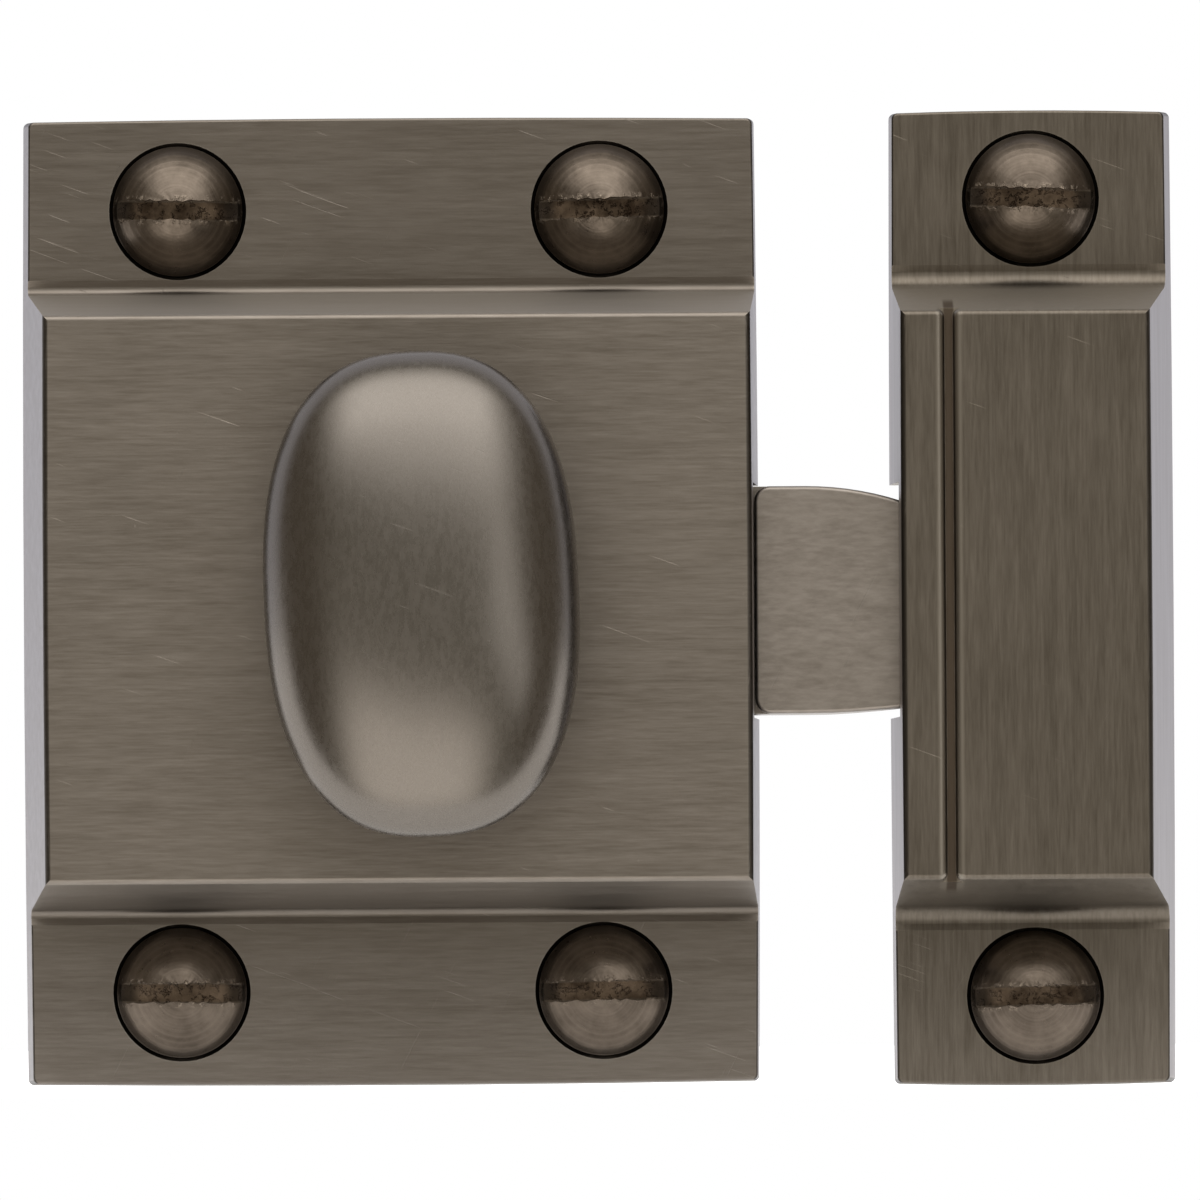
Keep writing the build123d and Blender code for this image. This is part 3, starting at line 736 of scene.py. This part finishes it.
def place_screws(master, material):
    """Sets a copy of the screw at each hole; each copy has its own mesh."""
    half_x = case_dims["spacing_x_mm"] * MM / 2
    half_z = case_dims["spacing_y_mm"] * MM / 2
    keep_z = keep_dims["spacing_y_mm"] * MM / 2
    places = [("case_screws", x * half_x, z * half_z) for z in (1, -1) for x in (-1, 1)]
    places += [("keep_screws", keep_x, z * keep_z) for z in (1, -1)]
    for number, ((stands_for, x, z), slant) in enumerate(zip(places, SCREW_SLANTS), start=1):
        screw = master.copy()
        screw.data = master.data.copy()
        screw.name = f"wood_screw_{number}"
        bpy.context.scene.collection.objects.link(screw)
        turn = Matrix.Rotation(math.radians(slant), 4, "Y")
        screw.data.transform(Matrix.Translation((x, 0, z)) @ turn)
        give(screw, material)
        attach(screw, "case")
        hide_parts(stands_for)
    bpy.data.objects.remove(master)


def make_spring():
    """The bolt's spring: round wire wound on the X axis."""
    bpy.ops.object.select_all(action="DESELECT")
    bpy.ops.mesh.primitive_circle_add(vertices=WIRE_SIDES, radius=SPRING_WIRE / 2)
    spring = bpy.context.object
    spring.name = "coil_spring"
    spring.data.name = "coil_spring"
    spring.data.transform(Matrix.Translation((0, (SPRING_OD - SPRING_WIRE) / 2, 0)))
    wind(spring, "X", SPRING_TURNS, spring_high.x - spring_low.x - SPRING_WIRE)
    finish_mesh(spring, SPRING_SMOOTH_DEG)
    start = spring_low.x + SPRING_WIRE / 2
    middle = (spring_low.y + spring_high.y) / 2
    spring.data.transform(Matrix.Translation((start, middle, 0)))
    return spring


# Studio
def make_floor():
    """A small pale floor that holds the object's shadow."""
    bpy.ops.object.select_all(action="DESELECT")
    bpy.ops.mesh.primitive_plane_add(size=1, location=(0, 0, 0))
    floor = bpy.context.object
    floor.name = "floor"
    floor.data.transform(Matrix.Diagonal((FLOOR_W, FLOOR_L, 1, 1)))
    low = cad_box[0][2]
    floor.data.transform(Matrix.Translation((0, FLOOR_L / 2 - FLOOR_FRONT, low - FLOOR_DROP)))
    material, tree, shader = blank_material("pale_floor")
    shader.inputs["Metallic"].default_value = 0.0
    shader.inputs["Base Color"].default_value = (FLOOR_TONE, FLOOR_TONE, FLOOR_TONE, 1)
    shader.inputs["Roughness"].default_value = 0.8
    shader.inputs["Emission Color"].default_value = (1, 1, 1, 1)
    shader.inputs["Emission Strength"].default_value = FLOOR_GLOW
    give(floor, material)


def make_studio():
    """Soft light that grows towards above and below, before a white backdrop."""
    world = bpy.data.worlds.new("studio")
    bpy.context.scene.world = world
    world.use_nodes = True
    tree = world.node_tree
    background = tree.nodes["Background"]
    coordinates = node(tree, "ShaderNodeTexCoord")
    parts = node(tree, "ShaderNodeSeparateXYZ")
    link(tree, coordinates.outputs["Generated"], parts.inputs["Vector"])
    across, away, up = parts.outputs["X"], parts.outputs["Y"], parts.outputs["Z"]
    slanted = worked(tree, "ADD", up, worked(tree, "MULTIPLY", across, SKY_SLANT))
    aside = worked(tree, "ABSOLUTE", across, 0)
    # The upper light fades at the sides and behind, and the lower one lies only in front
    sky = eased(tree, slanted, SKY_START, SKY_FULL)
    sky = worked(tree, "MULTIPLY", sky, eased(tree, away, 0.0, -0.25))
    sky = worked(tree, "MULTIPLY", sky, eased(tree, aside, 0.85, 0.4))
    low = eased(tree, slanted, LOW_START, LOW_FULL)
    low = worked(tree, "MULTIPLY", low, eased(tree, away, -0.25, -0.5))
    leftwards = worked(tree, "ABSOLUTE", worked(tree, "ADD", across, 0.1), 0)
    low = worked(tree, "MULTIPLY", low, eased(tree, leftwards, 0.65, 0.25))
    tone = mixed(tree, eased(tree, aside, 0.5, 0.85), FRONT_LIGHT, SIDE_LIGHT)
    tone = mixed(tree, sky, tone, SKY_LIGHT)
    tone = mixed(tree, low, tone, LOW_LIGHT)
    tone = mixed(tree, eased(tree, away, 0.03, 0.3), tone, BACK_LIGHT)
    # The camera sees white
    paths = node(tree, "ShaderNodeLightPath")
    tone = mixed(tree, paths.outputs["Is Camera Ray"], tone, (1.0, 1.0, 1.0))
    link(tree, tone, background.inputs["Color"])
    background.inputs["Strength"].default_value = 1.0
    soft_lamp("lamp_above", ABOVE_PLACE, ABOVE_SIZE, ABOVE_LIGHT)
    soft_lamp("lamp_right", RIGHT_PLACE, RIGHT_SIZE, RIGHT_LIGHT)


def soft_lamp(name, place, size, brightness):
    """A rectangular soft lamp that faces the object, of this surface brightness."""
    data = bpy.data.lights.new(name, "AREA")
    data.shape = "RECTANGLE"
    data.size, data.size_y = size
    data.energy = brightness * math.pi * size[0] * size[1]
    lamp = bpy.data.objects.new(name, data)
    bpy.context.scene.collection.objects.link(lamp)
    place = Vector(place)
    lamp.matrix_world = (
        Matrix.Translation(place) @ (-place).to_track_quat("-Z", "Z").to_matrix().to_4x4()
    )


bpy.context.scene.view_settings.view_transform = "Standard"
make_camera()
make_floor()
make_studio()

# Finishes
case_plate = brushed_plate(
    "case_plate", (0.196, 0.169, 0.142), (0.168, 0.144, 0.120), (0.33, 0.30, 0.265),
    (500, 4000, 7000), 0.36, streak=0.34, depth=4.0e-6, recess_shade=0.4, walls=1.0,
)
keep_plate = brushed_plate(
    "keep_plate", (0.127, 0.108, 0.087), (0.100, 0.084, 0.066), (0.27, 0.24, 0.20),
    (7000, 4000, 500), 0.36, streak=0.24, depth=2.6e-6, walls=1.0, groove=groove_x,
)
knob_plate = brushed_plate(
    "knob_plate", (0.163, 0.146, 0.128), (0.149, 0.132, 0.115), (0.25, 0.23, 0.21),
    (15000, 15000, 6000), 0.27, streak=0.22, depth=1.0e-6,
)
bolt_plate = brushed_plate(
    "bolt_plate", (0.245, 0.215, 0.188), (0.20, 0.174, 0.150), (0.42, 0.385, 0.345),
    (1200, 3500, 4500), 0.40, streak=0.3, depth=3.5e-6,
)
screw_plate = screw_metal("screw_plate")
zinc = plain_metal("zinc_plate", (0.44, 0.44, 0.43), (0.37, 0.37, 0.36), 0.42)
brass = plain_metal("turned_brass", (0.74, 0.58, 0.32), (0.60, 0.45, 0.24), 0.34)
steel = plain_metal("spring_steel", (0.50, 0.50, 0.50), (0.38, 0.38, 0.39), 0.30)

finishes = {
    "case": case_plate,
    "keep": keep_plate,
    "bolt": bolt_plate,
    "back_plate": zinc,
    "back_plate_screws": zinc,
    "cam_washer": zinc,
    "spindle": brass,
    "cam": brass,
    "knob_washer": brass,
    "knob": knob_plate,
    "case_screws": screw_plate,
    "keep_screws": screw_plate,
    "bolt_spring": steel,
}
for name, finish in finishes.items():
    give(frame["nodes"][name], finish)

knob = make_knob()
give(knob, knob_plate)
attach(knob, "knob")
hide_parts("knob")

place_screws(make_wood_screw(), screw_plate)

spring = make_spring()
give(spring, steel)
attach(spring, "case")
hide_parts("bolt_spring")
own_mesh(spring)
